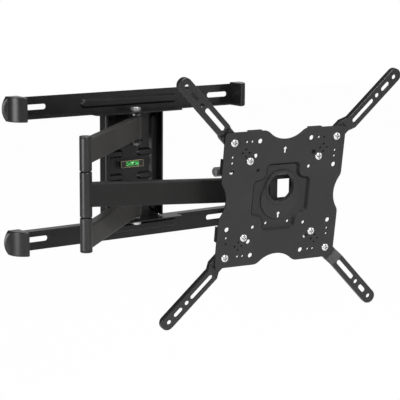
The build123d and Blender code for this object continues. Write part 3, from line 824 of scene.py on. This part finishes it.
def turned(place: Place, radius: np.ndarray, height: np.ndarray) -> Surface:
    """A body round an axis, closed by a pole at each end.

    The point at row i and turn t is height[i] along the axis and radius[i, t] away from it, in the
    direction cos(t) X + sin(t) Y, with t from TURNS. The first and last rows close on the axis.

    Args:
        place: The axis is the frame's Z.
        radius: Rows by turns.
        height: One to a row, or rows by turns.

    Returns:
        The closed surface.
    """
    rows, around = radius.shape
    high = np.broadcast_to(height.reshape(rows, -1), radius.shape)
    points = place.point(radius * np.cos(TURNS), radius * np.sin(TURNS), high).reshape(-1, 3)
    ends = place.point(np.zeros(2), np.zeros(2), np.array([high[0].mean(), high[-1].mean()]))
    column = np.arange(around)
    nxt = (column + 1) % around
    first, last = rows * around, rows * around + 1
    top = (rows - 1) * around
    low_fan = np.stack([np.full(around, first), nxt, column], -1)
    high_fan = np.stack([np.full(around, last), top + column, top + nxt], -1)
    return Surface(np.vstack([points, ends]), ring_faces(rows, around), np.vstack([low_fan, high_fan]))


def hoop(place: Place, radius: np.ndarray, height: np.ndarray) -> Surface:
    """A ring round an axis: the rows close on themselves as a section loop.

    Args:
        place: The axis is the frame's Z.
        radius: Section points by turns.
        height: Section points by turns.

    Returns:
        The closed ring.
    """
    rows, around = radius.shape
    points = place.point(radius * np.cos(TURNS), radius * np.sin(TURNS), height).reshape(-1, 3)
    faces = ring_faces(rows + 1, around) % (rows * around)
    return Surface(points, faces, np.zeros((0, 3), int))


@dataclass(frozen=True)
class Hexagon:
    """A hexagon block whose two ends are chamfered by a cone.

    Sizes are shares of the width across the flats: rows are the depths of the points' rows from each
    end, and cone is the cone's radius at the end, which widens by slope for each unit of depth.
    """

    flats: float
    rows: tuple[float, ...] = (0.0, 0.012, 0.03, 0.06, 0.1, 0.15)
    cone: float = 0.475
    slope: float = 1.7

    def outline(self) -> np.ndarray:
        """Distance from the middle to the edge for each of TURNS.

        It is half the width across the flats over the cosine of the angle to the nearest flat.

        Returns:
            One distance to a turn.
        """
        off = (TURNS + np.pi / 6) % (np.pi / 3) - np.pi / 6
        return self.flats / 2 / np.cos(off)

    def block(self, low: float, high: float) -> tuple[np.ndarray, np.ndarray]:
        """Radius and height rows: the smaller of the hexagon and the cone of the nearer end.

        Args:
            low: Lower end.
            high: Upper end.

        Returns:
            Radius, rows by turns, and the rows' heights.
        """
        depth = np.array(self.rows) * self.flats
        rows = np.concatenate([low + depth, high - depth[::-1]])
        gap = np.minimum(rows - low, high - rows)
        cone = self.flats * self.cone + self.slope * gap
        return np.minimum(self.outline()[None], cone[:, None]), rows

    def nut(self, place: Place, bore: float, low: float, high: float) -> Surface:
        """A nut: the block, closed by its bore.

        Args:
            place: The bore is the frame's Z.
            bore: Radius of the hole.
            low: Lower end along Z.
            high: Upper end along Z.

        Returns:
            The closed ring.
        """
        block, rows = self.block(low, high)
        radius = np.vstack([block, np.full((2, AROUND), bore)])
        height = np.repeat(np.concatenate([rows, [high, low]])[:, None], AROUND, 1)
        return hoop(place, radius, height)


@dataclass(frozen=True)
class Thread:
    """A screw thread: a V that climbs one pitch a turn.

    The radius falls by depth times the pitch in the V, whose flat bottom and sides are set by floor
    and slope, and the V fades out over a share of the pitch at both ends.
    """

    radius: float
    pitch: float
    depth: float = 0.55
    floor: float = 1.15
    slope: float = 1.5
    fade: float = 0.5
    rows_a_pitch: int = 8

    def grid(self, low: float, high: float) -> tuple[np.ndarray, np.ndarray]:
        """Radius and height rows.

        Args:
            low: Lower end.
            high: Upper end.

        Returns:
            Radius, rows by turns, and the rows' heights.
        """
        rows = np.linspace(low, high, int(round((high - low) / self.pitch * self.rows_a_pitch)) + 1)
        turn = np.linspace(0, 1, AROUND, endpoint=False)
        phase = (rows[:, None] / self.pitch - turn[None]) % 1.0
        groove = np.clip(self.floor - np.abs(phase * 2 - 1) * self.slope, 0, 1)
        ends = np.minimum(rows - low, high - rows)[:, None] / (self.fade * self.pitch)
        return self.radius - self.depth * self.pitch * groove * np.clip(ends, 0, 1), rows


@dataclass(frozen=True)
class PanHead:
    """A rounded screw head with a cross recess.

    The crown is a superellipse: its height is rim + (1 - rim) (1 - s ** flat) ** (1 / bow) of the
    full height, where s is the radius as a share of the rim's. The recess lowers it where the smaller
    of the two offsets from the cross is within the arm's half width, out to the reach, and less
    further out. The recess's widths and slopes are shares of the rim's radius.
    """

    radius: float
    high: float
    rim: float = 0.3
    flat: float = 3.2
    bow: float = 2.2
    arm: float = 0.17
    arm_slope: float = 0.04
    reach: float = 0.66
    reach_slope: float = 0.1
    depth: float = 0.7
    depth_middle: float = 1.25
    depth_fall: float = 0.6
    rim_rows: tuple[float, float, int] = (1.0, 0.9, 7)
    crown_rows: tuple[float, float, int] = (0.87, 0.0, 34)

    def grid(self) -> tuple[np.ndarray, np.ndarray]:
        """Radius and height grids, from the rim up over the crown.

        Returns:
            Radius and height, both rows by turns.
        """
        share = np.concatenate([np.linspace(*self.rim_rows), np.linspace(*self.crown_rows)])[:-1]
        r = np.repeat(share[:, None] * self.radius, AROUND, 1)
        rise = (1 - share**self.flat) ** (1 / self.bow)
        crown = self.high * (self.rim + (1 - self.rim) * rise)[:, None]
        across = np.minimum(np.abs(r * np.cos(TURNS)), np.abs(r * np.sin(TURNS)))
        arm = np.clip((self.arm * self.radius - across) / (self.arm_slope * self.radius), 0, 1)
        reach = np.clip((self.reach * self.radius - r) / (self.reach_slope * self.radius), 0, 1)
        fall = self.depth_middle - self.depth_fall * r / self.radius
        return r, crown - self.depth * self.high * arm * reach * fall


# Sub-assemblies


def joint(name: str) -> dict[str, Any]:
    """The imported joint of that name."""
    return next(j for j in frame["joints"] if j["name"] == name)


def paint(nodes: Sequence[str], material: bpy.types.Material) -> None:
    """Give CAD nodes a finish.

    Args:
        nodes: Node names.
        material: The finish.
    """
    for name in nodes:
        for held in frame["nodes"][name].material_slots:
            held.material = material


def stand_in(piece: bpy.types.Object, slot: str, material: bpy.types.Material, *nodes: str) -> None:
    """Finish a new piece and let it stand for CAD nodes.

    Args:
        piece: The new piece.
        slot: The record's material slot; not used.
        material: The finish.
        nodes: CAD nodes that it replaces.
    """
    piece.data.materials.append(material)
    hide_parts(*nodes)


@dataclass
class SubAssembly:
    """A group of pieces that move together or are made together."""

    palette: Palette

    def dress(self) -> None:
        """Give the CAD nodes their finishes."""

    def build(self) -> None:
        """Make the pieces that stand for CAD nodes, if there are any."""


@dataclass
class WallPlate(SubAssembly):
    """The part that is screwed to the wall: rails, caps, centre plate, level and pivot bolts."""

    bolt_r: float = 5.0 * MM
    flats: float = 16.0 * MM
    thread_pitch: float = 1.5 * MM
    thread_run: float = 16.5 * MM
    head_t: float = 7.0 * MM
    nut_t: float = 5.0 * MM
    tip_out: float = 0.7 * MM
    tip_share: float = 0.86

    def build(self) -> None:
        """Turn the pivot bolts and their nuts."""
        self.bolts()
        self.nuts()

    def axis(self, way: float) -> Place:
        """The wall pivot's axis, up for the upper bolt and down for the lower one."""
        pos = joint("wall_pivot")["pos_m"]
        return Place.along((pos[0], pos[1], 0.0), (0, 0, way), (1, 0, 0))

    def bolts(self) -> None:
        """Two hexagon bolts, head outwards, with a threaded end."""
        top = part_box("pivot_bolts")[1].z
        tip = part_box("pivot_nuts")[1].z - self.nut_t - self.tip_out
        neck = top - self.head_t
        threaded = tip + self.thread_run
        shaft, shaft_rows = Thread(self.bolt_r, self.thread_pitch).grid(tip, threaded)
        plain = np.full((2, AROUND), self.bolt_r)
        plain_rows = np.array([threaded + self.thread_pitch / 3, neck])
        block, block_rows = Hexagon(self.flats).block(neck, top)
        radius = np.vstack([shaft[:1] * self.tip_share, shaft, plain, block])
        rows = np.concatenate([[tip - self.tip_out / 3], shaft_rows, plain_rows, block_rows])
        both = turned(self.axis(1), radius, rows).joined(turned(self.axis(-1), radius, rows))
        piece = both.piece("pivot_bolts_turned", "wall_plate")
        stand_in(piece, "bright_steel", self.palette.get(Finish.BRIGHT), "pivot_bolts")

    def nuts(self) -> None:
        """Two thin hexagon nuts on the bolts' threaded ends."""
        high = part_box("pivot_nuts")[1].z
        low = high - self.nut_t
        hexagon = Hexagon(self.flats)
        pair = [hexagon.nut(self.axis(way), self.bolt_r, low, high) for way in (1, -1)]
        piece = pair[0].joined(pair[1]).piece("pivot_nuts_turned", "wall_plate")
        stand_in(piece, "bright_steel", self.palette.get(Finish.DULL), "pivot_nuts")

    def dress(self) -> None:
        """Coat the steel and colour the plastic."""
        coat = ("upper_rail", "lower_rail", "centre_plate", "upper_clevis", "lower_clevis")
        paint(coat, self.palette.get(Finish.BRACKET))
        caps = ("upper_left_cap", "upper_right_cap", "lower_left_cap", "lower_right_cap")
        paint(caps, self.palette.get(Finish.CAP))
        paint(("level_housing",), self.palette.get(Finish.HOUSING))
        paint(("level_vial",), self.palette.get(Finish.VIAL))
        paint(("pivot_bolts",), self.palette.get(Finish.BRIGHT))
        paint(("pivot_washers", "pivot_nuts"), self.palette.get(Finish.DULL))


@dataclass
class RearArm(SubAssembly):
    """The paired rear tubes between the wall pivots and the elbow."""

    def dress(self) -> None:
        """Coat the tubes and posts."""
        barrels = ("upper_pivot_barrel", "lower_pivot_barrel")
        # The rear tubes and barrels take the lighter coat, which is painted light.
        paint(barrels + ("upper_rear_tube", "lower_rear_tube"), self.palette.get(Finish.REAR_LIT))
        paint(("upper_elbow_knuckle", "lower_elbow_knuckle", "elbow_caps"), self.palette.get(Finish.POST))
        paint(("elbow_pin",), self.palette.get(Finish.TURNED))
        paint(("pivot_bushes", "elbow_washers"), self.palette.get(Finish.NYLON))


@dataclass
class Forearm(SubAssembly):
    """The single tube from the elbow to the head."""

    def dress(self) -> None:
        """Coat the tube and its posts."""
        paint(("forearm_tube", "head_barrel"), self.palette.get(Finish.TUBE))
        paint(("forearm_knuckle",), self.palette.get(Finish.POST))
        paint(("head_bushes",), self.palette.get(Finish.NYLON))


@dataclass
class Head(SubAssembly):
    """The yoke on the swivel bolt, and the tilting frame in it."""

    axle_r: float = 4.0 * MM
    axle_flats: float = 13.0 * MM
    cheek_out: float = 40.0 * MM
    axle_nut_t: float = 6.5 * MM
    bolt_r: float = 5.0 * MM
    bolt_flats: float = 16.0 * MM

    def build(self) -> None:
        """Make the chamfered nuts of the tilt axle and of the swivel bolt."""
        tilt, swivel = joint("tilt"), joint("head_swivel")
        axle = Place.along(tilt["pos_m"], tilt["axis"], (0, 0, 1))
        far = self.cheek_out + self.axle_nut_t
        ends = ((-far, -self.cheek_out), (self.cheek_out, far))
        hexagon = Hexagon(self.axle_flats)
        pair = [hexagon.nut(axle, self.axle_r, low, high) for low, high in ends]
        nuts = pair[0].joined(pair[1]).piece("tilt_nuts_turned", "tilt_frame")
        stand_in(nuts, "bright_steel", self.palette.get(Finish.BRIGHT), "tilt_nuts")
        low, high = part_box("swivel_nut")
        side = (math.cos(self.yaw()), math.sin(self.yaw()), 0.0)
        bolt = Place.along((*swivel["pos_m"][:2], 0.0), (0, 0, 1), side)
        turned_nut = Hexagon(self.bolt_flats).nut(bolt, self.bolt_r, low.z, high.z)
        nut = turned_nut.piece("swivel_nut_turned", "head")
        stand_in(nut, "bright_steel", self.palette.get(Finish.BRIGHT), "swivel_nut")

    @staticmethod
    def yaw() -> float:
        """How far the head is turned in the photograph's pose, in radians."""
        right = joint("tilt")["axis"]
        return math.atan2(right[1], right[0])

    def dress(self) -> None:
        """Coat the brackets and plate the fasteners."""
        paint(("head_yoke", "tilt_bracket"), self.palette.get(Finish.HEAD))
        paint(("hub_disc",), self.palette.get(Finish.HUB))
        paint(("swivel_bolt", "swivel_nut", "tilt_axle", "tilt_nuts"), self.palette.get(Finish.BRIGHT))
        paint(("tilt_knob",), self.palette.get(Finish.KNOB))


@dataclass
class ScreenPlate(SubAssembly):
    """The pressed plate behind the screen and its four extension arms."""

    outer: float = 200.0 * MM
    inner: float = 134.0 * MM
    head_r: float = 6.5 * MM
    head_high: float = 3.6 * MM
    shank_r: float = 4.0 * MM
    behind: float = 10.0 * MM
    nut_t: float = 5.0 * MM
    nut_flats: float = 12.0 * MM
    hub_above: float = 15.7 * MM

    def face(self) -> Place:
        """The plate's front: X right, Y up and Z out of the face."""
        hub = joint("level_turn")
        right = np.array(joint("tilt")["axis"], float)
        place = Place.along(hub["pos_m"], hub["axis"], right)
        return Place.along(place.origin - place.y * self.hub_above, place.z, right)

    def build(self) -> None:
        """Make the eight cross-recess screws and the nuts behind them."""
        place = self.face()
        crown, crown_high = PanHead(self.head_r, self.head_high).grid()
        shank = np.full((2, AROUND), self.shank_r)
        rim = np.full((1, AROUND), self.head_r)
        radius = np.vstack([shank, rim, crown])
        low = np.array([-self.behind, 0.0, 0.0])[:, None] * np.ones((1, AROUND))
        screw = turned(place, radius, np.vstack([low, crown_high]))
        steps = np.array([-0.5, 0.5])
        side, up = [a.ravel() for a in np.meshgrid(steps, steps)]
        shifts = [place.shift(side * p, up * p, np.zeros(4)) for p in (self.outer, self.inner)]
        piece = screw.copies(np.vstack(shifts)).piece("arm_screws_cross", "screen_plate")
        stand_in(piece, "bright_steel", self.palette.get(Finish.BRIGHT), "arm_screws")
        nut = Hexagon(self.nut_flats).nut(place, self.shank_r, -self.behind, self.nut_t - self.behind)
        nuts = nut.copies(np.vstack(shifts)).piece("arm_nuts_turned", "screen_plate")
        stand_in(nuts, "bright_steel", self.palette.get(Finish.BRIGHT), "arm_nuts")

    def dress(self) -> None:
        """Coat the plate and the arms."""
        paint(("vesa_plate",), self.palette.get(Finish.PLATE))
        straps = ("arm_upper_left", "arm_upper_right", "arm_lower_left", "arm_lower_right")
        paint(straps, self.palette.get(Finish.STRAP))
        paint(("arm_nuts", "arm_screws"), self.palette.get(Finish.BRIGHT))


# Studio


@dataclass(frozen=True)
class Lamp:
    """A soft rectangular lamp that faces the mount."""

    name: str
    at: tuple[float, float, float]
    power: float
    width: float
    height: float

    def make(self, target: Vector) -> None:
        """Hang the lamp and aim it.

        Args:
            target: The point that it faces.
        """
        data = bpy.data.lights.new(self.name, "AREA")
        data.energy = self.power
        data.shape = "RECTANGLE"
        data.size = self.width
        data.size_y = self.height
        lamp = bpy.data.objects.new(self.name, data)
        bpy.context.scene.collection.objects.link(lamp)
        lamp.location = self.at
        lamp.rotation_euler = (target - Vector(self.at)).to_track_quat("-Z", "Y").to_euler()


@dataclass
class Studio:
    """Floor, background, lamps and camera.

    The azimuth, elevation and roll are in degrees. The background's two numbers are the cosines
    between which the mirrored room turns from plain to white.
    """

    azimuth: float = 35.471
    elevation: float = 10.224
    roll: float = 0.372
    distance: float = 2.66204
    aim: tuple[float, float, float] = (0.05903, -0.15, -0.0522)
    lens: float = 129.968
    sensor: float = 36.0
    sight: float = 50.0
    floor_drop: float = 0.42
    floor_half: float = 6.0
    floor_colour: Colour = grey(0.9)
    floor_share: float = 0.985
    white: float = 1.0
    sky_light: float = 0.13
    background: tuple[float, float] = (0.93, 0.98)
    lamps: tuple[Lamp, ...] = (
        Lamp("key", (-0.35, -3.0, 1.45), 70.0, 1.0, 1.0),
        Lamp("left", (-2.95, -0.6, 0.35), 54.0, 1.5, 1.8),
        Lamp("fill", (2.4, -2.0, 0.6), 18.0, 1.6, 1.6),
        Lamp("top", (0.1, -0.5, 2.2), 34.0, 1.4, 1.0),
    )

    def away(self) -> Vector:
        """The level direction from the camera to the background."""
        a = math.radians(self.azimuth)
        return Vector((math.sin(a), math.cos(a), 0.0))

    def camera(self) -> None:
        """Set the camera where the photograph was taken from."""
        a, e, r = (math.radians(v) for v in (self.azimuth, self.elevation, self.roll))
        back = Vector((-math.sin(a) * math.cos(e), -math.cos(a) * math.cos(e), math.sin(e)))
        right = Vector((math.cos(a), -math.sin(a), 0.0))
        up = back.cross(right)
        data = bpy.data.cameras.new("camera")
        data.lens = self.lens
        data.sensor_width = self.sensor
        data.clip_end = self.sight
        made = bpy.data.objects.new("camera", data)
        bpy.context.scene.collection.objects.link(made)
        x = right * math.cos(r) + up * math.sin(r)
        y = up * math.cos(r) - right * math.sin(r)
        turn = Matrix((x, y, back)).transposed().to_4x4()
        made.matrix_world = Matrix.Translation(Vector(self.aim) + back * self.distance) @ turn
        bpy.context.scene.camera = made

    def world(self) -> None:
        """White to the eye, and a softer light on the object."""
        made = bpy.data.worlds.new("studio")
        bpy.context.scene.world = made
        made.use_nodes = True
        sky = Nodes(made.node_tree)
        plain = (*grey(1.0), 1.0)
        soft = sky.add("ShaderNodeBackground", {}, {0: plain, 1: self.sky_light}).outputs[0]
        seen = sky.add("ShaderNodeBackground", {}, {0: plain, 1: self.white}).outputs[0]
        share = sky.background_rays("Generated", self.away(), *self.background)
        mixed = sky.add("ShaderNodeMixShader", {}, {0: share, 1: soft, 2: seen})
        sky.add("ShaderNodeOutputWorld", {}, {0: mixed.outputs[0]})

    def floor(self) -> None:
        """A pale floor well below the mount, white to the eye, which keeps a faint shadow."""
        low = CAD_BOX[0][2] - self.floor_drop
        across = np.array([-self.floor_half, self.floor_half])
        x, y = np.meshgrid(across, across)
        points = np.stack([x, y, np.full_like(x, low)], -1).reshape(-1, 3)
        mesh = bpy.data.meshes.new("floor")
        mesh.from_pydata(points.tolist(), [], [(0, 1, 3, 2)])
        made = bpy.data.objects.new("floor", mesh)
        bpy.context.scene.collection.objects.link(made)
        material = bpy.data.materials.new("floor_white")
        material.use_nodes = True
        pale = Nodes(material.node_tree)
        matt = pale.add("ShaderNodeBsdfDiffuse", {}, {0: (*self.floor_colour, 1.0)}).outputs[0]
        glow = pale.add("ShaderNodeEmission", {}, {1: self.white}).outputs[0]
        share = pale.background_rays("Object", self.away(), *self.background) * self.floor_share
        mixed = pale.add("ShaderNodeMixShader", {}, {0: share, 1: matt, 2: glow})
        pale.add("ShaderNodeOutputMaterial", {}, {0: mixed.outputs[0]})
        mesh.materials.append(material)

    def build(self) -> None:
        """Set up the whole studio."""
        self.camera()
        self.world()
        self.floor()
        for lamp in self.lamps:
            lamp.make(Vector(self.aim))
        bpy.context.scene.view_settings.view_transform = "Standard"


def main() -> None:
    """Build and dress every sub-assembly, then set up the studio."""
    logging.basicConfig(level=logging.INFO, format="%(name)s: %(message)s")
    palette = Palette()
    for kind in (WallPlate, RearArm, Forearm, Head, ScreenPlate):
        part = kind(palette)
        part.dress()
        part.build()
        LOG.info("done %s", type(part).__name__)
    Studio().build()


if __name__ == "__main__":
    main()
